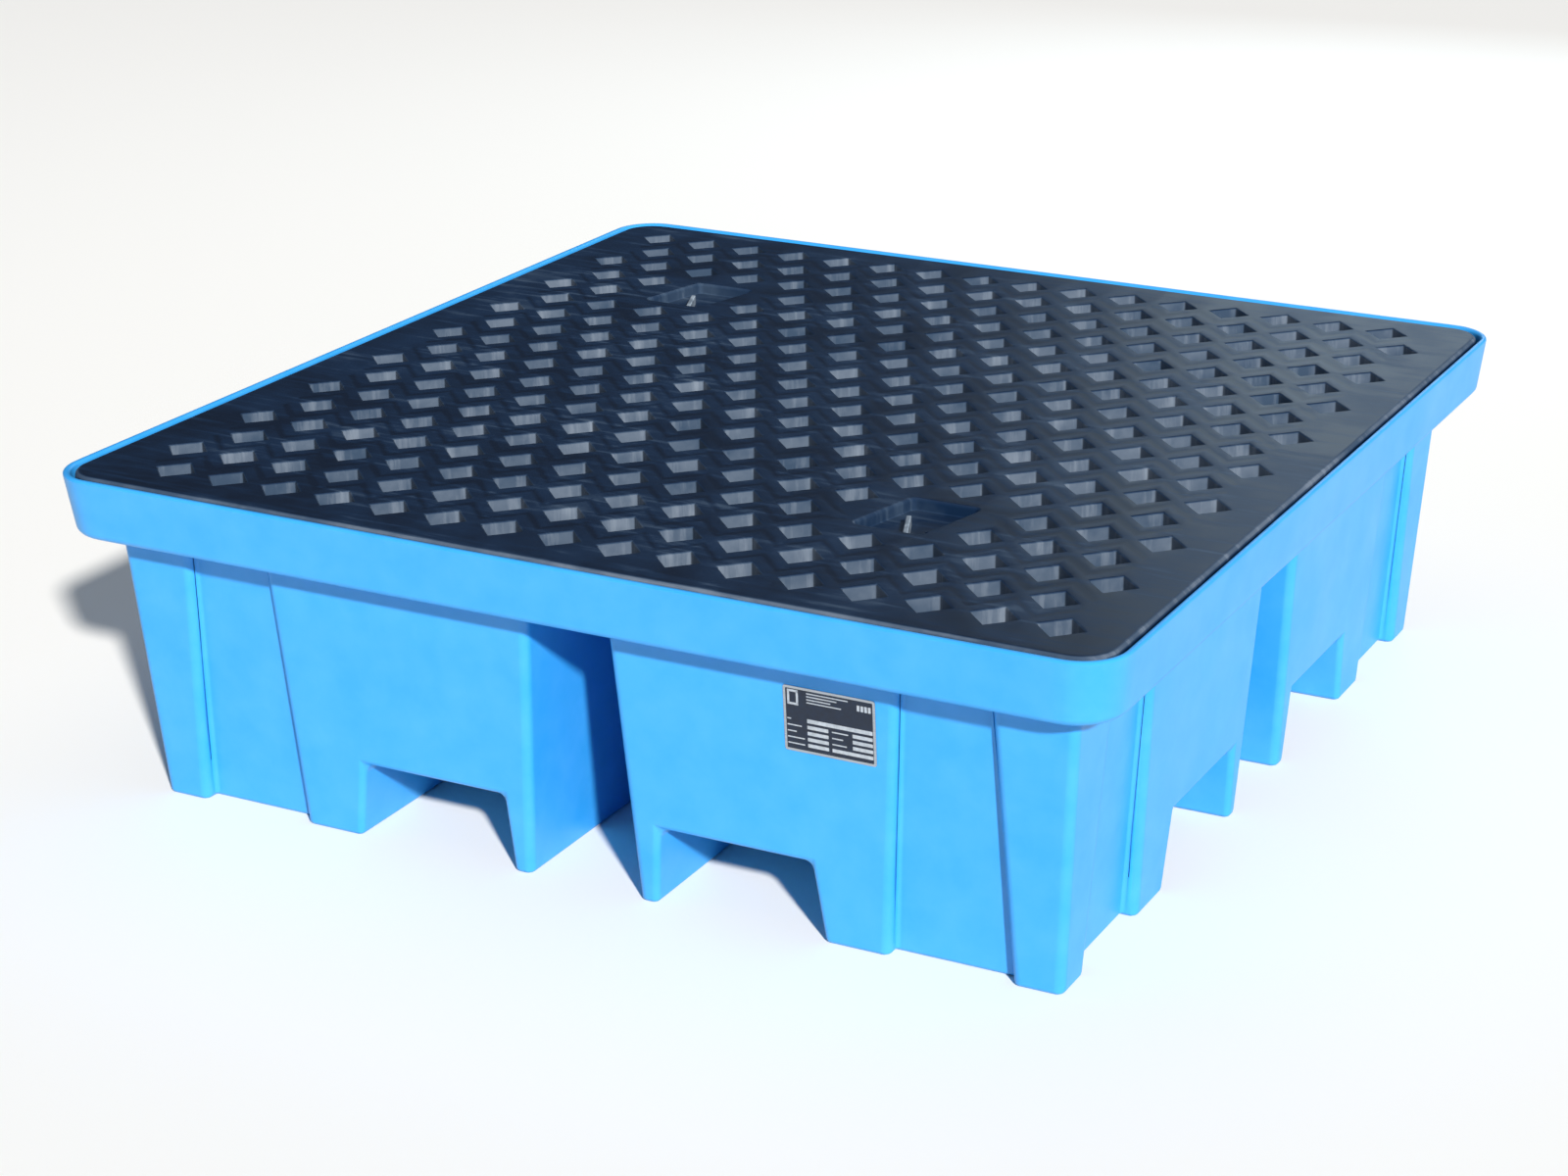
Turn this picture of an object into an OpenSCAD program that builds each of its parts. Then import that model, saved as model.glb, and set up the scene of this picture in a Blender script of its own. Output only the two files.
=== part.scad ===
// Spill containment pallet: a square one-piece sump on four hollow wells,
// with a lift-out grate that carries drums above the caught liquid.
// Millimetres, +Z up. Origin at floor level, in the middle of the plan.
// -Y is the side with the rating plate.

/* [Overall] */
// Outside length of one side at the top of the rim
side = 1280; // [1200:10:1360]
// Height from the floor to the top of the rim
height = 400; // [370:5:440]

/* [Sump] */
// Height of the upstanding rim on its outside
rim_h = 72; // [64:2:84]
// How far the rim leans out from its foot to its top
rim_lean = 8; // [4:1:10]
// Thickness of the rim at the top
rim_wall = 8; // [6:0.5:9]
// Outside corner radius of the rim
rim_corner = 56; // [44:2:70]
// Thickness of the moulded walls and floors
wall = 7; // [5:0.5:8]
// Distance from the top of the rim in to the outer faces of the wells, at their top
well_inset = 55; // [48:1:64]
// Half the width of the channel between the wells, at its top
channel_half = 48; // [40:1:56]
// How much each well face slopes in from its top down to the floor
well_draft = 20; // [12:1:26]
// Corner radius of the wells
well_corner = 13; // [9:1:18]
// Rounding where the feet meet the floor
foot_round = 7; // [4:1:9]

/* [Side recesses] */
// Start of the recess from the middle of the side, at the top
recess_from = 389; // [370:1:400]
// End of the recess from the middle of the side, at the top
recess_to = 488; // [470:1:500]
// How much the recess widens each way down to the floor
recess_flare = 20; // [8:1:24]
// Depth of the recess at the top
recess_top_depth = 11; // [8:1:14]
// Depth of the recess at the floor
recess_foot_depth = 18; // [14:1:22]

/* [Fork pockets] */
// Inner edge of a fork pocket from the middle, at the floor
fork_in = 91; // [88:1:110]
// Outer edge of a fork pocket from the middle, at the floor
fork_out = 293; // [270:1:310]
// Height of a fork pocket
fork_h = 92; // [80:2:110]
// How much the pocket narrows up to its roof, inner and outer side
fork_draft = [7, 13];
// Rounding in the top corners of a pocket
fork_round = 13; // [6:1:18]

/* [Grate] */
// Gap between the grate and the rim at the top
grate_gap = 5.5; // [4:0.5:8]
// Thickness of the deck
deck_t = 8; // [6:0.5:10]
// Half diagonal of a drain hole
hole_half = 26; // [20:0.5:28]
// Spacing of the holes along a row
hole_pitch = 71.4; // [69:0.1:72]
// Spacing of the rows
row_pitch = 65.8; // [64:0.1:67]
// Rows of holes
rows = 18; // [14:2:18]
// Holes in a row
cols = 16; // [12:2:16]
// Depth of the hole walls below the top of the deck
collar_depth = 30; // [20:1:40]
// Thickness of the hole walls
collar_t = 3; // [2.5:0.5:4]
// Thickness of the ribs under the deck
rib_t = 5; // [4:0.5:7]

/* [Grip pockets] */
// Depth of a grip pocket
grip_depth = 14; // [10:1:18]
// Length of the grip bar in a pocket
bar_len = 56; // [40:1:60]
// Thickness of the grip bar
bar_t = 6; // [4:0.5:8]

/* [Rating plate] */
// Width of the plate
plate_w = 105; // [90:1:120]
// Height of the plate
plate_h = 74; // [60:1:80]
// Thickness of the plate
plate_t = 1; // [0.8:0.1:2]
// Middle of the plate from the middle of the side
plate_x = 310; // [290:1:320]
// Middle of the plate above the floor
plate_z = 258; // [200:1:270]

/* [Hidden] */
$fn = 24;
shelf_z = height - rim_h;              // underside of the rim and of the shelf
shelf_top = shelf_z + wall;            // where the grate rests
half = side / 2;
well_out = half - well_inset;          // outer face of a well at its top
well_c = (well_out + channel_half) / 2;
well_half = (well_out - channel_half) / 2;
foot_half = well_half - well_draft;
seat = 0.3;                            // the grate's running gap above the shelf
grate_half = half - rim_wall - grate_gap;
skirt_half = half - rim_lean - rim_wall - 4;
grate_corner = rim_corner - rim_wall - grate_gap;
lip = 6;                               // rounded edge of the deck
grate_foot = shelf_top + seat;
// first hole of each grip pocket: row, hole
GRIPS = [[3, 2], [13, 11]];
// outline of a grip pocket about its middle
GRIP = [[-58, -56], [32, -56], [58, 53], [-32, 53]];

// square with rounded corners, half width h, corner radius r
module pad(h, r) {
  hull() for (x = [-1, 1], y = [-1, 1]) translate([x * (h - r), y * (h - r)]) circle(r);
}
// thin slab of that outline at height z
module slab(z, h, r) { translate([0, 0, z]) linear_extrude(0.01) pad(h, r); }

// ---------- sump ----------
module well_solid(grow, floor_z, top_z) {
  // straight taper from the floor to the shelf, moved in by the wall when grow is negative
  function at(z) = foot_half + well_draft * z / shelf_z + grow;
  r = well_corner + min(grow, 0) * 0.6;
  b = foot_round + min(grow, 0) * 0.6;
  translate([well_c, well_c, 0]) hull() {
    slab(floor_z, at(floor_z) - b, r);
    slab(floor_z + b * 0.3, at(floor_z) - b * 0.29, r);
    slab(floor_z + b, at(floor_z + b), r);
    slab(top_z - 0.01, at(top_z), r);
  }
}
// recess in the outer face, between the corner pillar and the side block
module recess(grow) {
  function face(z) = well_c + foot_half + well_draft * z / shelf_z;
  module cut(z, k) {
    f = recess_flare * (1 - z / shelf_z) + grow;
    d = recess_foot_depth + (recess_top_depth - recess_foot_depth) * z / shelf_z + grow;
    translate([recess_from - f, face(z) - d, z]) cube([recess_to - recess_from + 2 * f, 80, 0.01]);
  }
  hull() { cut(-2, 0); cut(shelf_z + 2, 1); }
}
// section of a fork pocket, x across and y up
module fork_section(grow) {
  r = fork_round + grow;
  h = fork_h + grow;
  x0 = fork_in + fork_draft[0] - grow;
  x1 = fork_out - fork_draft[1] + grow;
  polygon(concat(
    [[fork_out + grow + fork_draft[1] / 46, -2], [fork_in - grow - fork_draft[0] / 46, -2]],
    [for (a = [180:-15:90]) [x0 + r + r * cos(a), h - r + r * sin(a)]],
    [for (a = [90:-15:0]) [x1 - r + r * cos(a), h - r + r * sin(a)]]));
}
module fork_tunnel(grow) {
  translate([0, half, 0]) rotate([90, 0, 0]) linear_extrude(half) fork_section(grow);
}
module both_ways() { children(); mirror([1, -1, 0]) children(); }
module well() {
  difference() {
    well_solid(0, 0, shelf_z);
    both_ways() { recess(0); fork_tunnel(0); }
    difference() {
      well_solid(-wall, wall, shelf_z + 4);
      both_ways() { recess(wall); fork_tunnel(wall); }
    }
  }
}
module sump_rim() {
  foot = half - rim_lean;
  ri = rim_corner - rim_wall;
  color("deepskyblue") difference() {
    hull() {
      slab(shelf_z, foot - 8, rim_corner - 8);
      slab(shelf_z + 3, foot - 2.2, rim_corner - 3);
      slab(shelf_z + 9, foot + 1, rim_corner - 1);
      slab(height - 4, half, rim_corner);
      slab(height - 1.2, half - 1.2, rim_corner - 1);
      slab(height - 0.01, half - 3, rim_corner - 3);
    }
    hull() {
      slab(shelf_top, foot - rim_wall, ri);
      slab(height - 4, half - rim_wall, ri);
    }
    hull() {
      slab(height - 4.02, half - rim_wall, ri);
      slab(height - 1.2, half - rim_wall + 0.9, ri + 1);
      slab(height + 0.5, half - rim_wall + 3, ri + 3);
    }
    for (x = [-1, 1], y = [-1, 1]) translate([x * well_c, y * well_c, shelf_z - 1])
      linear_extrude(wall + 2) pad(well_half - wall, well_corner - wall * 0.6);
  }
}
module well_front_left() { color("deepskyblue") rotate(180) well(); }
module well_front_right() { color("deepskyblue") rotate(-90) well(); }
module well_back_left() { color("deepskyblue") rotate(90) well(); }
module well_back_right() { color("deepskyblue") well(); }

// ---------- grate ----------
function row_y(j) = (rows - 1) / 2 * row_pitch - j * row_pitch;
function hole_x(j, i) = (i - (cols - 1) / 2) * hole_pitch + (j % 2 == 0 ? -0.25 : 0.25) * hole_pitch;
// a hole is left out where a grip pocket takes its place
function in_grip(j, i) = len([for (g = GRIPS) if ((j == g[0] || j == g[0] + 1) && (i == g[1] || i == g[1] + 1)) 1]) > 0;
// middle of a grip pocket, between its four missing holes
function grip_x(g) = (hole_x(g[0], g[1]) + hole_x(g[0], g[1] + 1) + hole_x(g[0] + 1, g[1]) + hole_x(g[0] + 1, g[1] + 1)) / 4;
function grip_y(g) = (row_y(g[0]) + row_y(g[0] + 1)) / 2;

module holes(d) {
  for (j = [0:rows - 1], i = [0:cols - 1]) if (!in_grip(j, i))
    translate([hole_x(j, i), row_y(j)]) rotate(45) square((hole_half + d) * sqrt(2), center = true);
}
module at_grips() { for (g = GRIPS) translate([grip_x(g), grip_y(g)]) children(); }
module grip_outline(d) {
  polygon([[GRIP[0][0] - d * 1.27, GRIP[0][1] - d], [GRIP[1][0] + d * 0.79, GRIP[1][1] - d],
           [GRIP[2][0] + d * 1.27, GRIP[2][1] + d], [GRIP[3][0] - d * 0.79, GRIP[3][1] + d]]);
}
// zigzag rib between two rows of holes
module zigzag(j) {
  a = hole_pitch / 4;
  t = rib_t / sqrt(2);
  n = 2 * cols + 1;
  s = j % 2 == 0 ? 1 : -1;
  y = row_y(j) - row_pitch / 2;
  x0 = -n / 2 * hole_pitch / 2;
  function peak(k) = (k % 2 == 0 ? a : -a) * s;
  polygon(concat(
    [for (k = [0:n]) [x0 + k * hole_pitch / 2, y + peak(k) + t]],
    [for (k = [n:-1:0]) [x0 + k * hole_pitch / 2, y + peak(k) - t]]));
}
module frame_and_ribs() {
  difference() {
    pad(skirt_half, grate_corner);
    pad(skirt_half - rib_t, grate_corner - rib_t);
  }
  intersection() {
    for (j = [0:rows - 2]) zigzag(j);
    pad(skirt_half - 1, grate_corner - 1);
  }
}
// rounded edge of the deck: four straight runs and four corners
module deck_edge() {
  h = grate_half - grate_corner;
  r = grate_corner - lip;
  module edge() polygon([[0, 0], [lip - 1.5, 0], [lip, 1.5], [lip, deck_t - 4.5], [lip - 1.2, deck_t - 1.6], [lip - 3.6, deck_t - 0.3], [0, deck_t]]);
  for (a = [0:90:270]) rotate(a) {
    translate([h + r, h, 0]) rotate([90, 0, 0]) linear_extrude(2 * h) edge();
    translate([h, h, 0]) rotate_extrude(angle = 90) translate([r, 0]) edge();
  }
}
module grate() {
  color("darkslategray") {
    difference() {
      union() {
        translate([0, 0, height - deck_t]) {
          linear_extrude(deck_t) difference() {
            pad(grate_half - lip, grate_corner - lip);
            holes(0);
            at_grips() grip_outline(0);
          }
          deck_edge();
        }
        translate([0, 0, height - collar_depth]) linear_extrude(collar_depth - deck_t) difference() {
          union() { holes(collar_t); frame_and_ribs(); }
          holes(0);
          at_grips() grip_outline(0);
        }
        translate([0, 0, grate_foot]) linear_extrude(height - collar_depth - grate_foot) frame_and_ribs();
        // grip pockets: a walled tray with a bar across it
        at_grips() {
          translate([0, 0, height - grip_depth]) linear_extrude(grip_depth - deck_t) difference() { grip_outline(4); grip_outline(0); }
          translate([0, 0, height - grip_depth - 4]) linear_extrude(4) difference() { grip_outline(4); grip_slot(); }
        }
      }
      // the slot goes right down through the ribs
      at_grips() translate([0, 0, grate_foot - 1]) linear_extrude(height - grip_depth - grate_foot + 2) grip_slot();
    }
    at_grips() translate([0, 0, height - grip_depth]) linear_extrude(grip_depth - 2) grip_bar();
  }
}
module grip_bar() { translate([-10, -1]) rotate(22) translate([-bar_t / 2, -bar_len]) square([bar_t, bar_len]); }
module grip_slot() { translate([14, -8]) rotate(12) translate([0, -42]) square([16, 42]); }

// ---------- rating plate ----------
module rating_plate() {
  lean = atan(well_draft / shelf_z);
  y = -(well_c + foot_half + well_draft * plate_z / shelf_z);
  color("silver") translate([plate_x, y, plate_z]) rotate([lean, 0, 0])
    translate([-plate_w / 2, -plate_t, -plate_h / 2]) cube([plate_w, plate_t, plate_h]);
}

sump_rim();
well_front_left();
well_front_right();
well_back_left();
well_back_right();
grate();
rating_plate();
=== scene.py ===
from math import atan, atan2, copysign, cos, pi, radians, sin, tan

import bmesh
import bpy
from mathutils import Matrix, Quaternion, Vector


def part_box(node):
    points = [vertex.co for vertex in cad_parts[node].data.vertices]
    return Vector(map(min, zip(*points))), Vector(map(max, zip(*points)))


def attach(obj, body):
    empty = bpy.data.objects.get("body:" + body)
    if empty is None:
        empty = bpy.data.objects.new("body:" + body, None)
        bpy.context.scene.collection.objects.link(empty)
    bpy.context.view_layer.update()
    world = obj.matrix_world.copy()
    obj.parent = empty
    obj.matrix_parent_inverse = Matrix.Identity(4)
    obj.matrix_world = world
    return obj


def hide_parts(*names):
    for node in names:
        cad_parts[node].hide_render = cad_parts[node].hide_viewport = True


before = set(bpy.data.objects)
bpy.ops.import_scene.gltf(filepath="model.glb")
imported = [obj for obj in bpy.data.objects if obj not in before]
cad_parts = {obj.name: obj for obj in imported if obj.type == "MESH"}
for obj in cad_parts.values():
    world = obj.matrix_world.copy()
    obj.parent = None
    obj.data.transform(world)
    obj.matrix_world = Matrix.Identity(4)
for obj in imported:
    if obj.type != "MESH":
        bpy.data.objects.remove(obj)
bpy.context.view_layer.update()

# ---------------------------------------------------------------------------
# Sump
# One seamless shell of sky-blue polyethylene, rotomoulded: a leaning rim, a
# shelf inside it, and four hollow wells with fork pockets both ways. The mould
# rounds every edge, more on the outside corners than inside them.
# ---------------------------------------------------------------------------
mm = 0.001
hair = 1e-6     # metres: points closer than this are the same
rim_low, rim_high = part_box("sump_rim")
well_low, well_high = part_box("well_back_right")
height = rim_high.z
shelf = rim_low.z
wall = 7 * mm
rim_wall = 8 * mm
rim_lean = 8 * mm
rim_top = rim_high.x
rim_foot = rim_top - rim_lean
rim_corner = 55 * mm    # radius at the foot of the rim
lip_corner = 56 * mm    # radius at its lip
well_draft = 20 * mm
fork_height = 92 * mm
fork_edges = (91 * mm, 293 * mm)
fork_draft = (7 * mm, 13 * mm)
recess_edges = (389 * mm, 488 * mm)
recess_flare = 20 * mm
recess_depth = (18 * mm, 11 * mm)
# radii that the mould gives the edges, on the outside; an inside one differs by inside_change
inside_change = 6 * mm
least_inside_round = 3 * mm
edge_round = {
    "pillar": 11 * mm,
    "inner_corner": 5 * mm,
    "fork_opening": 8 * mm,
    "fork_roof": 13 * mm,
    "foot": 6 * mm,
    "rim_foot": 9 * mm,
    "shelf": 6 * mm,
    "lip": 3.7 * mm,
}


def plan_lines(z, inset):
    """Where the upright faces of a quarter of the plan stand at height z, moved in by inset."""
    up = min(z / shelf, 1)
    fork_up = min(z / fork_height, 1)
    flare = recess_flare * (1 - up)
    depth = recess_depth[0] + (recess_depth[1] - recess_depth[0]) * up
    channel = well_low.x + well_draft * (1 - up)
    outer = well_high.x - well_draft * (1 - up)
    return [
        0,
        channel + inset,
        fork_edges[0] + fork_draft[0] * fork_up - inset,
        fork_edges[1] - fork_draft[1] * fork_up + inset,
        recess_edges[0] - flare - inset,
        recess_edges[1] + flare + inset,
        outer - depth - inset,
        outer - inset,
        rim_foot,
    ]


rim_line = len(plan_lines(0, 0)) - 1    # the number of the last line
# the numbers of the bands between two lines at a fork pocket, at a recess and along an outer face
fork_band, recess_band, face_band = 2, 4, 6


def onto_outline(co, old_centre, half, radius):
    """Moves a point of a rounded square, whose corners turn about old_centre, onto another one."""
    x, y = abs(co.x), abs(co.y)
    if x > old_centre and y > old_centre:
        turn = atan2(y - old_centre, x - old_centre)
        x = half - radius + radius * cos(turn)
        y = half - radius + radius * sin(turn)
    elif x > y:
        x = half
    else:
        y = half
    co.x = x if co.x > 0 else -x
    co.y = y if co.y > 0 else -y


def moulded_skin(bm, inset):
    """One skin of a quarter of the sump: the outside with inset 0, the inside with the wall's."""
    made = bmesh.ops.create_grid(bm, x_segments=rim_line, y_segments=rim_line, size=0.5)
    for v in made["verts"]:
        v[column] = round((v.co.x + 0.5) * rim_line)
        v[row] = round((v.co.y + 0.5) * rim_line)
        v[inner] = 1 if inset else 0
        v.co.z = shelf + inset

    def cell(face):
        return (min(v[column] for v in face.verts), min(v[row] for v in face.verts))

    def pull_down(faces, z):
        new = bmesh.ops.extrude_face_region(bm, geom=faces)["geom"]
        bmesh.ops.delete(bm, geom=faces, context="FACES")
        for v in new:
            if isinstance(v, bmesh.types.BMVert):
                v.co.z = z
        return [f for f in new if isinstance(f, bmesh.types.BMFace)]

    faces = list({f for v in made["verts"] for f in v.link_faces})
    well = [
        f for f in faces
        if all(0 < i < rim_line - 1 for i in cell(f)) and sorted(cell(f)) != [recess_band, face_band]
    ]
    roof = pull_down(well, fork_height + inset)
    feet = [f for f in roof if fork_band not in cell(f)]
    pull_down(feet, inset)


sump_mesh = bmesh.new()
column = sump_mesh.verts.layers.int.new("column")
row = sump_mesh.verts.layers.int.new("row")
inner = sump_mesh.verts.layers.int.new("inner")
corner_centre = rim_foot - rim_corner
for inset in (0, wall):
    moulded_skin(sump_mesh, inset)
for v in sump_mesh.verts:
    inset = wall if v[inner] else 0
    lines = plan_lines(v.co.z - inset, inset)
    v.co.x = lines[v[column]]
    v.co.y = lines[v[row]]


def rim_edges():
    """The open edges along the outside of the quarter."""
    return [
        e for e in sump_mesh.edges
        if e.is_boundary and all(max(v[column], v[row]) == rim_line for v in e.verts)
    ]


def drawn_loop(bm, edges):
    """Extrudes a loop of edges, and returns the new loop's vertices and edges."""
    new = bmesh.ops.extrude_edge_only(bm, edges=edges)["geom"]
    verts = [v for v in new if isinstance(v, bmesh.types.BMVert)]
    known = set(verts)
    return verts, [e for e in new if isinstance(e, bmesh.types.BMEdge) and all(v in known for v in e.verts)]


# the rim: its corner is rounded, then both skins are drawn up and joined over the lip
corner = [e for e in rim_edges() if any(v[column] == v[row] == rim_line for v in e.verts)]
split = bmesh.ops.bisect_edges(sump_mesh, edges=corner, cuts=6)
for v in split["geom_split"]:
    if isinstance(v, bmesh.types.BMVert):
        v[column] = rim_line if v.co.x > rim_foot - hair else rim_line - 1
        v[row] = rim_line if v.co.y > rim_foot - hair else rim_line - 1
loop = rim_edges()
for v in {v for e in loop for v in e.verts}:
    inward = rim_wall if v[inner] else 0
    onto_outline(v.co, corner_centre, rim_foot - inward, rim_corner - inward)
lip_points, lip = drawn_loop(sump_mesh, loop)
for v in lip_points:
    inward = rim_wall if v[inner] else 0
    v.co.z = height
    onto_outline(v.co, corner_centre, rim_top - inward, lip_corner - inward)
bmesh.ops.bridge_loops(sump_mesh, edges=lip)
bmesh.ops.recalc_face_normals(sump_mesh, faces=sump_mesh.faces)
for axis in ("X", "Y"):
    everything = sump_mesh.verts[:] + sump_mesh.edges[:] + sump_mesh.faces[:]
    bmesh.ops.mirror(sump_mesh, geom=everything, axis=axis, merge_dist=hair)
bmesh.ops.remove_doubles(sump_mesh, verts=sump_mesh.verts, dist=hair)
bmesh.ops.recalc_face_normals(sump_mesh, faces=sump_mesh.faces)


def edge_radius(edge):
    """How far the mould rounds an edge. The inside radius differs from the outside one."""
    turn = edge.calc_face_angle_signed(0)
    if abs(turn) < radians(20):     # nearly flat, so nothing to round
        return 0
    low, high = sorted(v.co.z for v in edge.verts)
    inside = bool(edge.verts[0][inner])
    level = low - wall if inside else low
    if low > height - hair:
        return edge_round["lip"]
    outside_corner = (turn > 0) != inside
    fork_lines = {fork_band, fork_band + 1}
    at_fork = level < fork_height - hair and any({v[column], v[row]} & fork_lines for v in edge.verts)
    on_rim = all(max(v[column], v[row]) == rim_line for v in edge.verts)
    if high - low > mm:
        kind = ("fork_opening" if at_fork else "pillar") if outside_corner else "inner_corner"
    elif level > fork_height + mm:
        kind = "rim_foot" if on_rim else "shelf"
    elif level > mm:
        kind = "fork_opening" if outside_corner else "fork_roof"
    else:
        kind = "foot"
    radius = edge_round[kind]
    if inside:
        inner_round = max(radius - inside_change, least_inside_round)
        radius = inner_round if outside_corner else radius + inside_change
    return radius


def finished_piece(name, bm, *materials):
    """A new object from a bmesh, smooth, at the origin."""
    mesh = bpy.data.meshes.new(name)
    bm.to_mesh(mesh)
    bm.free()
    mesh.polygons.foreach_set("use_smooth", [True] * len(mesh.polygons))
    for material in materials:
        mesh.materials.append(material)
    piece = bpy.data.objects.new(name, mesh)
    bpy.context.scene.collection.objects.link(piece)
    return piece


def rounded_by_weight(piece, widest, segments):
    """Rounds the edges that have a bevel weight, and keeps the flat faces flat."""
    bevel = piece.modifiers.new("rounding", "BEVEL")
    bevel.limit_method = "WEIGHT"
    bevel.offset_type = "OFFSET"
    bevel.width = widest
    bevel.segments = segments
    bevel.profile = 0.5
    bevel.use_clamp_overlap = False
    bevel.harden_normals = True


def linear(hex_colour):
    """An sRGB hex colour as Blender's linear RGBA."""
    parts = [int(hex_colour[i:i + 2], 16) / 255 for i in (1, 3, 5)]
    return [p / 12.92 if p <= 0.04045 else ((p + 0.055) / 1.055) ** 2.4 for p in parts] + [1]


def add(tree, kind, inputs=None, **settings):
    """Adds a node, sets its properties, and gives each input, by name or number, a value or a link."""
    new = tree.nodes.new(kind)
    for key, value in settings.items():
        setattr(new, key, value)
    for key, value in (inputs or {}).items():
        if isinstance(value, bpy.types.NodeSocket):
            tree.links.new(value, new.inputs[key])
        else:
            new.inputs[key].default_value = value
    return new


def new_material(name):
    """A new material, its node tree, its shader, and the place on the piece that its patterns read."""
    material = bpy.data.materials.new(name)
    material.use_nodes = True
    tree = material.node_tree
    place = add(tree, "ShaderNodeTexCoord").outputs["Object"]
    return material, tree, tree.nodes["Principled BSDF"], place


# Rotomoulded polyethylene: powder fused against the mould. It gives a soft satin skin with a faint
# cloudiness from uneven pigment, a fine grain, and faces that are slightly wavy from cooling. The
# real grain is finer than 2 mm, and is drawn that coarse so that it shows.
rotomoulded, tree, shader, place = new_material("rotomoulded_polyethylene")
clouds = add(tree, "ShaderNodeTexNoise",
             {"Vector": place, "Scale": 1 / (45 * mm), "Detail": 4, "Roughness": 0.6})
pigment = add(tree, "ShaderNodeValToRGB", {"Fac": clouds.outputs["Fac"]})
pigment.color_ramp.elements[0].position = 0.30
pigment.color_ramp.elements[0].color = linear("#2f9ae0")
pigment.color_ramp.elements[1].position = 0.72
pigment.color_ramp.elements[1].color = linear("#3fa1e8")
tree.links.new(pigment.outputs["Color"], shader.inputs["Base Color"])
patches = add(tree, "ShaderNodeTexNoise", {"Vector": place, "Scale": 1 / (120 * mm), "Detail": 3})
gloss = add(tree, "ShaderNodeMapRange",
            {"Value": patches.outputs["Fac"], "From Min": 0.3, "From Max": 0.7,
             "To Min": 0.36, "To Max": 0.46})
tree.links.new(gloss.outputs["Result"], shader.inputs["Roughness"])
shader.inputs["IOR"].default_value = 1.5
waves = add(tree, "ShaderNodeTexNoise", {"Vector": place, "Scale": 1 / (160 * mm), "Detail": 1})
slow = add(tree, "ShaderNodeBump", {"Height": waves.outputs["Fac"], "Strength": 0.5, "Distance": 1.2 * mm})
grain = add(tree, "ShaderNodeTexNoise", {"Vector": place, "Scale": 1 / (2.2 * mm), "Detail": 3})
fine = add(tree, "ShaderNodeBump",
           {"Height": grain.outputs["Fac"], "Strength": 0.25, "Distance": 0.15 * mm,
            "Normal": slow.outputs["Normal"]})
tree.links.new(fine.outputs["Normal"], shader.inputs["Normal"])

widest = 20 * mm    # a bevel weight is a share of this
weight = sump_mesh.edges.layers.float.new("bevel_weight_edge")
for edge in sump_mesh.edges:
    edge[weight] = edge_radius(edge) / widest
sump = finished_piece("sump_shell", sump_mesh, rotomoulded)
rounded_by_weight(sump, widest, segments=4)
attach(sump, "sump")
wells = [f"well_{end}_{side}" for end in ("front", "back") for side in ("left", "right")]
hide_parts("sump_rim", *wells)

# ---------------------------------------------------------------------------
# Grate
# One loose panel of black polyethylene, injection moulded: a flat deck with diamond drain holes,
# a rounded edge over a skirt that stands on the shelf, and two pockets to lift it by.
# ---------------------------------------------------------------------------
grate_low, grate_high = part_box("grate")
grate_half = grate_high.x
deck_edge_round = 6 * mm
deck_flat = grate_half - deck_edge_round
deck_corner = 36.5 * mm     # radius of the flat deck's corners
corner_reach = 560 * mm     # the deck's edge turns into its corner beyond here
painted_highlight_depth = 4 * mm         # how far down its outer edge the deck is painted pale: a painted highlight along the round
deck_thickness = 8 * mm
skirt_half = 620 * mm
skirt_clearance = 3 * mm    # the skirt's corners are rounder by this, clear of the round inside the rim
quarter = 17.85 * mm    # a quarter of the spacing of the holes along a row
half_row = 32.9 * mm    # half the spacing of the rows
hole_half = 26 * mm
hole_depth = 30 * mm
hole_round = 1.8 * mm
sink_half = 5.5 * mm
sink_depth = 0.6 * mm
last_column, last_row = 33, 18
pocket_middles = [(-20, 10), (16, -10)]     # in quarters across and half rows along
pocket_depth = 14 * mm
pocket_corners = [(-58 * mm, -56 * mm), (32 * mm, -56 * mm), (58 * mm, 53 * mm), (-32 * mm, 53 * mm)]
pocket_round = 11 * mm
pocket_lip = 4 * mm         # round along the pocket's top edge
pocket_fillet = 1.5 * mm    # round along the edge of its floor
slot_corners = [(0, 0), (0, -42 * mm), (16 * mm, -42 * mm), (16 * mm, 0)]
slot_round = 4 * mm
slot_depth = 4 * mm
slot_place = Matrix.Translation((14 * mm, -8 * mm, 0)) @ Matrix.Rotation(radians(12), 4, "Z")


def is_hole(m, n):
    """Whether a drain hole stands m quarters across and n half rows along."""
    at_pocket = any(abs(m - px) <= 3 and abs(n - py) == 1 for px, py in pocket_middles)
    return n % 2 == 1 and (m - n) % 4 == 0 and not at_pocket


def zigzag_y(m, n):
    """Height along the plan of a line of the grid: the even ones run zigzag between the holes."""
    if n % 2 or abs(n) >= last_row or abs(m) >= last_column:
        return n * half_row
    return n * half_row + (quarter if (m + n) % 4 == 3 else -quarter)


def crossing(m, n, edge):
    """Where lines m and n of the grid cross. The outermost lines lie along the edge."""
    x = m * quarter if abs(m) < last_column else copysign(edge, m)
    y = zigzag_y(m, n) if abs(n) < last_row else copysign(edge, n)
    return x, y


def bevelled(bm, geom, offset, segments=1, affect="EDGES"):
    """Bevels edges or vertices by the same offset, and returns what that made."""
    return bmesh.ops.bevel(bm, geom=geom, offset=offset, offset_type="OFFSET", segments=segments,
                           profile=0.5, affect=affect, material=-1)


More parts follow.
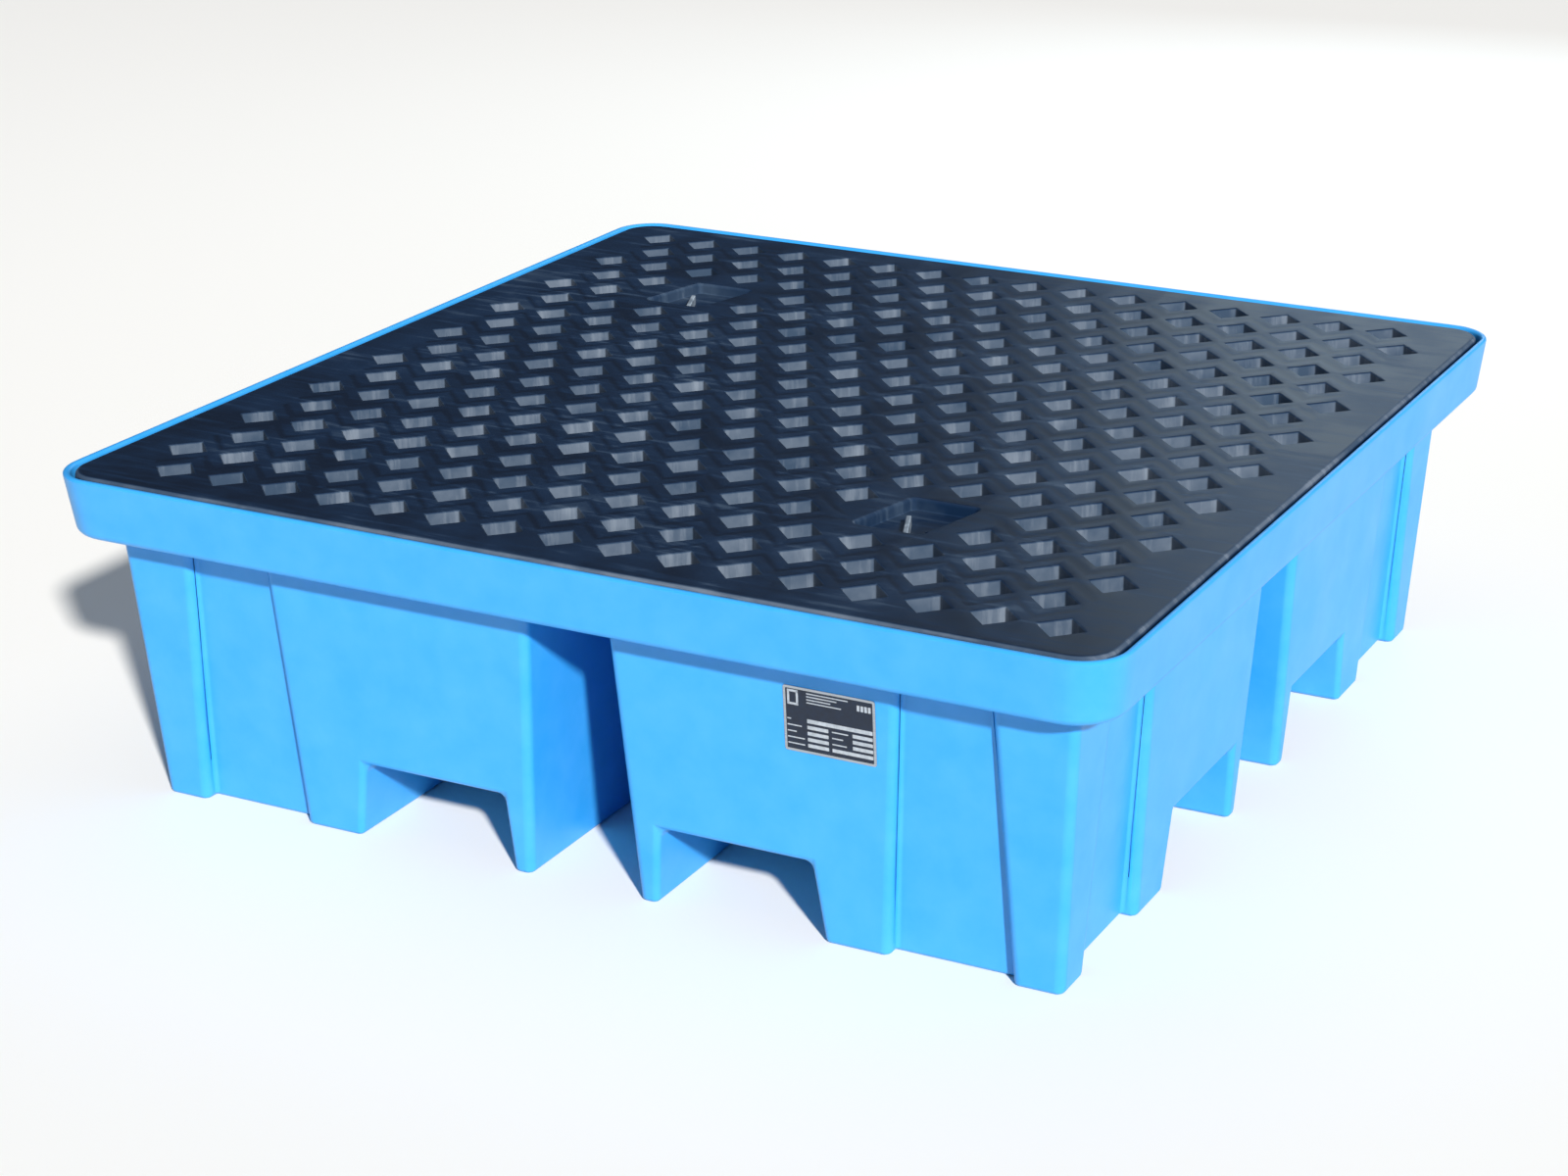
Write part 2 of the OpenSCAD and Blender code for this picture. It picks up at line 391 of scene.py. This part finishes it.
def rounded_loop(bm, corners, radius, z, place, steps=4):
    """A closed loop of edges round a convex outline, with its corners rounded."""
    heading = bm.verts.layers.float_vector["heading"]
    verts = []
    count = len(corners)
    for i in range(count):
        here = Vector(corners[i])
        into = (Vector(corners[i - 1]) - here).normalized()
        out = (Vector(corners[(i + 1) % count]) - here).normalized()
        half_angle = into.angle(out) / 2
        middle = here + (into + out).normalized() * (radius / sin(half_angle))
        start = (here + into * (radius / tan(half_angle)) - middle).normalized()
        finish = (here + out * (radius / tan(half_angle)) - middle).normalized()
        for k in range(steps + 1):
            away = start.slerp(finish, k / steps)
            x, y = middle + away * radius
            v = bm.verts.new(place @ Vector((x, y, z)))
            v[heading] = place.to_3x3() @ Vector((away.x, away.y, 0))
            verts.append(v)
    return [bm.edges.new((a, b)) for a, b in zip(verts, verts[1:] + verts[:1])]


def drawn_down(bm, edges, drop, shrink=0):
    """Extrudes a loop of edges down and inwards, and returns the new loop."""
    heading = bm.verts.layers.float_vector["heading"]
    moved, lower = drawn_loop(bm, edges)
    for v in moved:
        v.co -= v[heading] * shrink
        v.co.z -= drop
    return lower


grate_mesh = bmesh.new()
across = grate_mesh.verts.layers.int.new("across")
along = grate_mesh.verts.layers.int.new("along")
grate_mesh.verts.layers.float_vector.new("heading")     # which way a loop's corner points
sink = grate_mesh.verts.layers.float.new("sink")        # 1 along the middle of a sink mark
dust_and_painted_light = grate_mesh.verts.layers.float.new("dust_and_painted_light")      # 1 for dust on the holes' walls and for a painted highlight on the outer edge, 0.45 for painted light on the pockets' walls
grid = bmesh.ops.create_grid(grate_mesh, x_segments=last_column, y_segments=2 * last_row, size=1)
for v in grid["verts"]:
    m = 2 * round((v.co.x + 1) * last_column / 2) - last_column
    n = round((v.co.y + 1) * last_row) - last_row
    v[across], v[along] = m, n
    v.co = *crossing(m, n, deck_flat), height

# shallow sink marks where the zigzag ribs meet the deck from below
zigzag = [
    e for e in grate_mesh.edges
    if e.verts[0][along] == e.verts[1][along] and e.verts[0][along] % 2 == 0
    and all(abs(v[along]) < last_row and abs(v[across]) < last_column for v in e.verts)
]
sinks = bevelled(grate_mesh, zigzag, sink_half, segments=2)
sink_faces = set(sinks["faces"])
for v in sinks["verts"]:
    if all(f in sink_faces for f in v.link_faces):
        v.co.z -= sink_depth
        v[sink] = 1

centres = [v for v in grate_mesh.verts if is_hole(v[across], v[along]) and abs(v[across]) < last_column]
holes = bevelled(grate_mesh, centres, hole_half, affect="VERTICES")["faces"]

# the outside corners, the rounded edge and the skirt
corner = [
    e for e in grate_mesh.edges
    if e.is_boundary and any(min(abs(v.co.x), abs(v.co.y)) > deck_flat - hair for v in e.verts)
]
bmesh.ops.bisect_edges(grate_mesh, edges=corner, cuts=6)
outside = [e for e in grate_mesh.edges if e.is_boundary]
for v in {v for e in outside for v in e.verts}:
    onto_outline(v.co, corner_reach, deck_flat, deck_corner)
turns = [radians(a) for a in (30, 60, 90)]      # steps of a quarter round
profile = [
    (deck_flat + deck_edge_round * sin(a), height - deck_edge_round * (1 - cos(a))) for a in turns
]
profile += [(grate_half, height - deck_thickness)]
profile += [(skirt_half, height - deck_thickness), (skirt_half, grate_low.z)]
centre = deck_flat - deck_corner
for half, z in profile:
    new_centre = deck_flat - deck_corner - (skirt_clearance if half == skirt_half else 0)
    moved, outside = drawn_loop(grate_mesh, outside)
    for v in moved:
        v.co.z = z
        # painted highlight: the upper rings of the rounded outer edge are painted pale
        v[dust_and_painted_light] = 1 if half < grate_half and z > height - painted_highlight_depth else 0
        onto_outline(v.co, centre, half, half - new_centre)
    centre = new_centre

# the drain holes' walls, with a small round along the top and down the corners
bmesh.ops.delete(grate_mesh, geom=holes, context="FACES_ONLY")
tops = [e for e in grate_mesh.edges if e.is_boundary and all(v.co.z > height - mm for v in e.verts)]
drawn_down(grate_mesh, tops, hole_depth)
uprights = {
    e for t in tops for v in t.verts for e in v.link_edges
    if abs(e.verts[0].co.z - e.verts[1].co.z) > hole_depth / 2
}
bevelled(grate_mesh, tops + list(uprights), hole_round)
for v in grate_mesh.verts:
    if v.co.z < height - 2 * sink_depth and max(abs(v.co.x), abs(v.co.y)) < deck_flat - mm:
        v[dust_and_painted_light] = 1

# the grip pockets: the deck is opened round each, and closed again up to the pocket's outline
for px, py in pocket_middles:
    middle = Vector((px * quarter, py * half_row))
    place = Matrix.Translation((middle.x, middle.y, 0))
    plain = [
        f for f in grate_mesh.faces
        if f.normal.z ** 2 > 0.98 and min(v.co.z for v in f.verts) > height - mm
        and abs(f.calc_center_median().x - middle.x) < 5 * quarter
        and abs(f.calc_center_median().y - middle.y) < 3 * half_row
    ]
    bmesh.ops.delete(grate_mesh, geom=plain, context="FACES")
    around = [e for e in grate_mesh.edges if e.is_boundary and all(v.co.z > height - mm for v in e.verts)]
    loop = rounded_loop(grate_mesh, pocket_corners, pocket_round, height, place)
    bmesh.ops.triangle_fill(grate_mesh, use_beauty=True, edges=around + loop, normal=(0, 0, 1))
    done = (0, 0)
    steps = [(pocket_lip * sin(a), pocket_lip * (1 - cos(a))) for a in turns]
    steps += [(pocket_lip, pocket_depth - pocket_fillet)]
    steps += [
        (pocket_lip + pocket_fillet * (1 - cos(a)), pocket_depth - pocket_fillet * (1 - sin(a)))
        for a in turns
    ]
    for shrink, drop in steps:
        loop = drawn_down(grate_mesh, loop, drop - done[1], shrink - done[0])
        done = (shrink, drop)
        for v in {v for e in loop for v in e.verts}:
            v[dust_and_painted_light] = 0.45     # painted light: the pocket's walls are painted paler, though less than a hole's dust
    slot = rounded_loop(grate_mesh, slot_corners, slot_round, height - pocket_depth, place @ slot_place)
    bmesh.ops.triangle_fill(grate_mesh, use_beauty=True, edges=loop + slot, normal=(0, 0, 1))
    drawn_down(grate_mesh, slot, slot_depth)

bmesh.ops.recalc_face_normals(grate_mesh, faces=grate_mesh.faces)
if sum(f.normal.z * f.calc_area() for f in grate_mesh.faces) < 0:
    bmesh.ops.reverse_faces(grate_mesh, faces=grate_mesh.faces)
for e in grate_mesh.edges:
    e.smooth = e.calc_face_angle(0) < radians(52)   # the rounds stay smooth, the corners sharp

# Black polyethylene, injection moulded: near black, satin. Drums have scuffed the deck in streaks,
# and pale dust stays on the walls of the holes, where no drum wipes it off. Painted light is laid on
# too: a painted highlight along the deck's rounded outer edge, painted light on the pockets' walls and
# painted shade along the sink marks. The real pits are finer than 2 mm, and are drawn that coarse so
# that they show.
black, tree, shader, place = new_material("scuffed_black_polyethylene")
# lifts the shade: real dust on the holes' walls, a painted highlight on the outer edge, painted light on
# the pockets' walls
dust_and_light_fac = add(tree, "ShaderNodeAttribute", attribute_name="dust_and_painted_light").outputs["Fac"]
dust_and_light_lift = add(tree, "ShaderNodeMapRange", {"Value": dust_and_light_fac, "To Max": 0.52})
calm = add(tree, "ShaderNodeMapRange", {"Value": dust_and_light_fac, "To Min": 1.0, "To Max": 0.45})
# painted shade: the middles of the sink marks are painted darker, as shade in the dips
marks = add(tree, "ShaderNodeAttribute", attribute_name="sink").outputs["Fac"]
painted_sink_shade = add(tree, "ShaderNodeMapRange", {"Value": marks, "To Max": -0.22})
# a scuff is about 200 mm long and 14 mm wide
along_streaks = add(tree, "ShaderNodeMapping",
                    {"Vector": place, "Rotation": (0, 0, radians(35)), "Scale": (5, 70, 5)})
streaks = add(tree, "ShaderNodeTexNoise",
              {"Vector": along_streaks.outputs["Vector"], "Scale": 1.0, "Detail": 6, "Roughness": 0.65})
scuffs = add(tree, "ShaderNodeMapRange",
             {"Value": streaks.outputs["Fac"], "From Min": 0.50, "From Max": 0.78,
              "To Min": 0.0, "To Max": 0.42})
patches = add(tree, "ShaderNodeTexNoise",
              {"Vector": place, "Scale": 1 / (110 * mm), "Detail": 5, "Roughness": 0.62})
wear = add(tree, "ShaderNodeMapRange",
           {"Value": patches.outputs["Fac"], "From Min": 0.35, "From Max": 0.7,
            "To Min": 0.05, "To Max": 0.36})
grime = add(tree, "ShaderNodeMath",
            {0: scuffs.outputs["Result"], 1: wear.outputs["Result"]}, operation="ADD")
grime = add(tree, "ShaderNodeMath",
            {0: grime.outputs["Value"], 1: calm.outputs["Result"]}, operation="MULTIPLY")
laid_on = add(tree, "ShaderNodeMath",
              {0: dust_and_light_lift.outputs["Result"], 1: painted_sink_shade.outputs["Result"]}, operation="ADD")
total = add(tree, "ShaderNodeMath",
            {0: grime.outputs["Value"], 1: laid_on.outputs["Value"]}, operation="ADD").outputs["Value"]
shade = add(tree, "ShaderNodeValToRGB", {"Fac": total})
stops = shade.color_ramp.elements
stops[0].position, stops[0].color = 0.05, linear("#081426")
stops[1].position, stops[1].color = 0.95, linear("#98a1ab")
for position, colour in ((0.30, "#12263f"), (0.55, "#3a4a5d")):
    stops.new(position).color = linear(colour)
tree.links.new(shade.outputs["Color"], shader.inputs["Base Color"])
gloss = add(tree, "ShaderNodeMapRange",
            {"Value": total, "From Min": 0.1, "From Max": 0.6, "To Min": 0.44, "To Max": 0.60})
tree.links.new(gloss.outputs["Result"], shader.inputs["Roughness"])
shader.inputs["Specular IOR Level"].default_value = 0.36
shader.inputs["IOR"].default_value = 1.5
pits = add(tree, "ShaderNodeTexNoise", {"Vector": place, "Scale": 1 / (1.8 * mm), "Detail": 3})
fine = add(tree, "ShaderNodeBump", {"Height": pits.outputs["Fac"], "Strength": 0.3, "Distance": 0.15 * mm})
tree.links.new(fine.outputs["Normal"], shader.inputs["Normal"])

deck = finished_piece("grate_deck", grate_mesh, black)
thickness = deck.modifiers.new("thickness", "SOLIDIFY")
thickness.thickness = 3 * mm
thickness.offset = -1
thickness.use_quality_normals = True
deck.modifiers.new("flat_faces", "WEIGHTED_NORMAL").keep_sharp = True
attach(deck, "grate")
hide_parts("grate")

# ---------------------------------------------------------------------------
# Ribs and grip bars of the grate
# Zigzag ribs of the same black polyethylene stiffen the deck from below, and stand on the shelf
# at their ends. In each pocket a bar crosses beside the slot, for the fingers to hold.
# ---------------------------------------------------------------------------
rib_thickness = 5 * mm
rib_top = height - 2 * mm                           # inside the deck's thickness
low_rib_top = height - pocket_depth - slot_depth    # under the pockets
low_rib_reach = (62 * mm, 60 * mm)                  # how far from a pocket's middle, across and along
rib_mesh = bmesh.new()
for n in range(2 - last_row, last_row, 2):
    line = [
        rib_mesh.verts.new((*crossing(m, n, skirt_half - 2 * mm), rib_top))
        for m in range(-last_column, last_column + 1, 2)
    ]
    ridge = [rib_mesh.edges.new(pair) for pair in zip(line, line[1:])]
    bmesh.ops.bisect_edges(rib_mesh, edges=ridge, cuts=3)
    ridge = [e for e in rib_mesh.edges if not e.link_faces]
    for v in drawn_loop(rib_mesh, ridge)[0]:
        v.co.z = grate_low.z
for v in rib_mesh.verts:
    for px, py in pocket_middles:
        away = abs(v.co.x - px * quarter), abs(v.co.y - py * half_row)
        if away[0] < low_rib_reach[0] and away[1] < low_rib_reach[1] and v.co.z > rib_top - mm:
            v.co.z = low_rib_top
ribs = finished_piece("grate_ribs", rib_mesh, black)
thickness = ribs.modifiers.new("thickness", "SOLIDIFY")
thickness.thickness = rib_thickness
thickness.offset = 0
for polygon in ribs.data.polygons:
    polygon.use_smooth = False
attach(ribs, "grate")

bar_width, bar_length, bar_height = 6 * mm, 58 * mm, 13 * mm
bar_hinge = (-10 * mm, -mm, 5.5 * mm)   # the end it turns about, from the middle of the pocket's floor
bar_turn = radians(22)
bar_mesh = bmesh.new()
for px, py in pocket_middles:
    place = Matrix.Translation((px * quarter, py * half_row, height - pocket_depth))
    place @= Matrix.Translation(bar_hinge) @ Matrix.Rotation(bar_turn, 4, "Z")
    place @= Matrix.Translation((0, -28 * mm, 0)) @ Matrix.Diagonal((bar_width, bar_length, bar_height, 1))
    bmesh.ops.create_cube(bar_mesh, size=1, matrix=place)
bevelled(bar_mesh, bar_mesh.edges[:], 1.6 * mm, segments=3)

# The same polyethylene, drawn pale grey all over in small mottled patches, and smoother than the deck.
pale_bar_material, tree, shader, place = new_material("pale_grey_polyethylene")
bar_mottle = add(tree, "ShaderNodeTexNoise", {"Vector": place, "Scale": 1 / (12 * mm), "Detail": 4})
shade = add(tree, "ShaderNodeValToRGB", {"Fac": bar_mottle.outputs["Fac"]})
shade.color_ramp.elements[0].position, shade.color_ramp.elements[0].color = 0.3, linear("#5a6672")
shade.color_ramp.elements[1].position, shade.color_ramp.elements[1].color = 0.7, linear("#a3adb6")
tree.links.new(shade.outputs["Color"], shader.inputs["Base Color"])
gloss = add(tree, "ShaderNodeMapRange", {"Value": bar_mottle.outputs["Fac"], "To Min": 0.3, "To Max": 0.5})
tree.links.new(gloss.outputs["Result"], shader.inputs["Roughness"])
bars = finished_piece("grip_bars", bar_mesh, pale_bar_material)
bars.modifiers.new("flat_faces", "WEIGHTED_NORMAL").keep_sharp = True
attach(bars, "grate")

# ---------------------------------------------------------------------------
# Rating plate
# A thin aluminium plate, printed dark but for a bare border and bare fields, and stuck flat on the
# leaning front of the front right well. The print here is generic: a mark, lines, bars and fields.
# ---------------------------------------------------------------------------
plate_low, plate_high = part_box("rating_plate")
plate_width = plate_high.x - plate_low.x
plate_height = 74 * mm
plate_level = (plate_low.z + plate_high.z) / 2
face_lean = atan(well_draft / shelf)
face_y = -(well_high.x - well_draft * (1 - plate_level / shelf))
on_plate = Matrix.Translation(((plate_low.x + plate_high.x) / 2, face_y, plate_level))
on_plate @= Matrix.Rotation(pi / 2 + face_lean, 4, "X")


def plate_sheet(bm, left, bottom, right, top, under, over, radius):
    """A thin sheet with rounded corners, between two heights off the wall, all in millimetres."""
    corners = [(x * mm, y * mm) for x, y in ((left, bottom), (right, bottom), (right, top), (left, top))]
    start = len(bm.verts)
    rounded_loop(bm, corners, radius * mm, over * mm, on_plate, steps=3)
    bm.verts.ensure_lookup_table()
    face = bm.faces.new(bm.verts[start:])
    lower = bmesh.ops.extrude_face_region(bm, geom=[face])["geom"]
    off_wall = on_plate.to_3x3() @ Vector((0, 0, (over - under) * mm))
    for v in lower:
        if isinstance(v, bmesh.types.BMVert):
            v.co -= off_wall


def plate_piece(name, sheets, under, over, radius, material, rounding=0):
    """One layer of the plate, made of closed thin sheets."""
    bm = bmesh.new()
    bm.verts.layers.float_vector.new("heading")
    for sheet in sheets:
        plate_sheet(bm, *sheet, under, over, radius)
    bmesh.ops.recalc_face_normals(bm, faces=bm.faces)
    for e in bm.edges:
        e.smooth = e.calc_face_angle(0) < radians(40)
    if rounding:
        bevelled(bm, [e for e in bm.edges if not e.smooth], rounding * mm, segments=2)
    piece = finished_piece(name, bm, material)
    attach(piece, "sump")
    return piece


# Bare aluminium, brushed along the plate and left mill-bright: strokes of 25 mm by 0.4 mm.
aluminium, tree, shader, place = new_material("brushed_aluminium")
shader.inputs["Metallic"].default_value = 1.0
brushed = add(tree, "ShaderNodeMapping", {"Vector": place, "Scale": (40, 2500, 2500)})
lines = add(tree, "ShaderNodeTexNoise", {"Vector": brushed.outputs["Vector"], "Scale": 1.0, "Detail": 2})
shade = add(tree, "ShaderNodeValToRGB", {"Fac": lines.outputs["Fac"]})
shade.color_ramp.elements[0].position, shade.color_ramp.elements[0].color = 0.3, linear("#b4babf")
shade.color_ramp.elements[1].position, shade.color_ramp.elements[1].color = 0.7, linear("#d5d9dc")
tree.links.new(shade.outputs["Color"], shader.inputs["Base Color"])
gloss = add(tree, "ShaderNodeMapRange", {"Value": lines.outputs["Fac"], "To Min": 0.38, "To Max": 0.55})
tree.links.new(gloss.outputs["Result"], shader.inputs["Roughness"])

# The printed field: dark navy ink baked on the aluminium, slightly mottled and satin.
ink, tree, shader, place = new_material("dark_printed_ink")
mottle = add(tree, "ShaderNodeTexNoise", {"Vector": place, "Scale": 1 / (6 * mm), "Detail": 3})
shade = add(tree, "ShaderNodeValToRGB", {"Fac": mottle.outputs["Fac"]})
shade.color_ramp.elements[0].position, shade.color_ramp.elements[0].color = 0.3, linear("#111a28")
shade.color_ramp.elements[1].position, shade.color_ramp.elements[1].color = 0.7, linear("#182334")
tree.links.new(shade.outputs["Color"], shader.inputs["Base Color"])
gloss = add(tree, "ShaderNodeMapRange", {"Value": mottle.outputs["Fac"], "To Min": 0.4, "To Max": 0.6})
tree.links.new(gloss.outputs["Result"], shader.inputs["Roughness"])

# The fields and lines left free of ink: aluminium under a matt clear coat, so it looks pale grey.
bare, tree, shader, place = new_material("clear_coated_aluminium")
shader.inputs["Metallic"].default_value = 0.35
mottle = add(tree, "ShaderNodeTexNoise", {"Vector": place, "Scale": 1 / (4 * mm), "Detail": 2})
shade = add(tree, "ShaderNodeValToRGB", {"Fac": mottle.outputs["Fac"]})
shade.color_ramp.elements[0].position, shade.color_ramp.elements[0].color = 0.3, linear("#a9b0b6")
shade.color_ramp.elements[1].position, shade.color_ramp.elements[1].color = 0.7, linear("#c3c9ce")
tree.links.new(shade.outputs["Color"], shader.inputs["Base Color"])
gloss = add(tree, "ShaderNodeMapRange", {"Value": mottle.outputs["Fac"], "To Min": 0.5, "To Max": 0.65})
tree.links.new(gloss.outputs["Result"], shader.inputs["Roughness"])

# all the sheets are in millimetres: left, bottom, right and top, from the middle of the plate
side = plate_width / 2 / mm
top = plate_height / 2 / mm
border = 3.0
whole = (-side, -top, side, top)
base = plate_piece("rating_plate_sheet", [whole], -0.3, 0.9, 3.0, aluminium, rounding=0.25)
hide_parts("rating_plate")
inked = (border - side, border - top, side - border, top - border)
plate_piece("rating_plate_ink", [inked], 0.8, 1.0, 1.0, ink)
left_end, right_end = -25.5, 49     # of the fields
row_step = 6.9
fields = [(left_end, -2, right_end, 2.4), (2.5, -29.6, right_end, -25.6)]       # the two wide ones
fields += [(left_end, -8.9 - row_step * i, -1.5, -4.9 - row_step * i) for i in range(4)]
fields += [(26, -8.9 - row_step * i, right_end, -4.9 - row_step * i) for i in range(3)]
plate_piece("rating_plate_fields", fields, 0.9, 1.1, 0.5, bare)
prints = [(-47.5, 17, -45, 32), (-37.5, 17, -35, 32)]                           # a plain square
prints += [(-47.5, 16, -35, 18.5), (-47.5, 30.5, -35, 33)]
for i, right in enumerate((22, 9, 2, 14)):                                      # lines of print
    prints += [(left_end, 30.6 - 3.4 * i, right, 31.8 - 3.4 * i)]
prints += [(32 + 4.2 * i, 22.5, 35 + 4.2 * i, 29) for i in range(4)]            # a row of blocks
for i, right in enumerate((-44, -32, -38, -29, -29)):                           # captions
    prints += [(-48.5, -0.9 - row_step * i, right, 0.5 - row_step * i)]
for i, right in enumerate((21, 15, 19)):
    prints += [(2.5, -7.6 - row_step * i, right, -6.2 - row_step * i)]
plate_piece("rating_plate_print", prints, 0.9, 1.1, 0.3, bare)

# ---------------------------------------------------------------------------
# Floor, light and camera
# A pale matt floor, a low sun from the front right for the key light, and two soft panels, one
# overhead and one behind. The camera stands in front, to the right, and looks down on the deck.
# ---------------------------------------------------------------------------
floor_mesh = bmesh.new()
bmesh.ops.create_grid(floor_mesh, x_segments=1, y_segments=1, size=40)
pale = bpy.data.materials.new("pale_floor_paint")
pale.use_nodes = True
pale.node_tree.nodes["Principled BSDF"].inputs["Base Color"].default_value = linear("#faf6ee")
pale.node_tree.nodes["Principled BSDF"].inputs["Roughness"].default_value = 0.9
floor = finished_piece("floor", floor_mesh, pale)

scene = bpy.context.scene
scene.view_settings.view_transform = "Standard"
scene.view_settings.look = "None"
world = bpy.data.worlds.new("studio")
scene.world = world
world.use_nodes = True
world.node_tree.nodes["Background"].inputs["Color"].default_value = linear("#a8c6f0")
world.node_tree.nodes["Background"].inputs["Strength"].default_value = 0.16

sun_data = bpy.data.lights.new("key", "SUN")
sun_data.energy = 5.3
sun_data.angle = radians(3)
sun = bpy.data.objects.new("key", sun_data)
scene.collection.objects.link(sun)
sun_turn, sun_rise = radians(43.5), radians(29.5)
sun_from = Vector((sin(sun_turn) * cos(sun_rise), -cos(sun_turn) * cos(sun_rise), sin(sun_rise)))
sun.rotation_mode = "QUATERNION"
sun.rotation_quaternion = sun_from.to_track_quat("Z", "Y")
sun.visible_glossy = False    # no hard glare on the deck when it is looked at against the light


def soft_panel(name, at, towards, width, depth, power, colour):
    """A large soft panel of light at one place, facing another."""
    data = bpy.data.lights.new(name, "AREA")
    data.shape = "RECTANGLE"
    data.size = width
    data.size_y = depth
    data.energy = power
    data.color = colour
    panel = bpy.data.objects.new(name, data)
    scene.collection.objects.link(panel)
    panel.location = at
    panel.rotation_mode = "QUATERNION"
    panel.rotation_quaternion = (Vector(at) - Vector(towards)).to_track_quat("Z", "Y")


soft_panel("overhead", (0, 0, 5), (0, 0, 0), 6, 6, 45, (1, 0.98, 0.95))
soft_panel("behind", (-0.35, 4.2, 1.75), (0.3, 0, 0.4), 1.7, 1.5, 24, (0.68, 0.86, 1))

camera_data = bpy.data.cameras.new("camera")
camera_data.sensor_width = 36
camera_data.lens = 71.68
camera_data.shift_x = -0.094
camera = bpy.data.objects.new("camera", camera_data)
scene.collection.objects.link(camera)
turn, rise, lean = radians(25.71), radians(20.88), radians(0.2436)
looks_at = Vector((0.3939, -0.5195, height))
distance = 3.1275
back = Vector((sin(turn) * cos(rise), -cos(turn) * cos(rise), sin(rise)))
camera.location = looks_at + back * distance
camera.rotation_mode = "QUATERNION"
camera.rotation_quaternion = back.to_track_quat("Z", "Y") @ Quaternion((0, 0, 1), lean)
scene.camera = camera
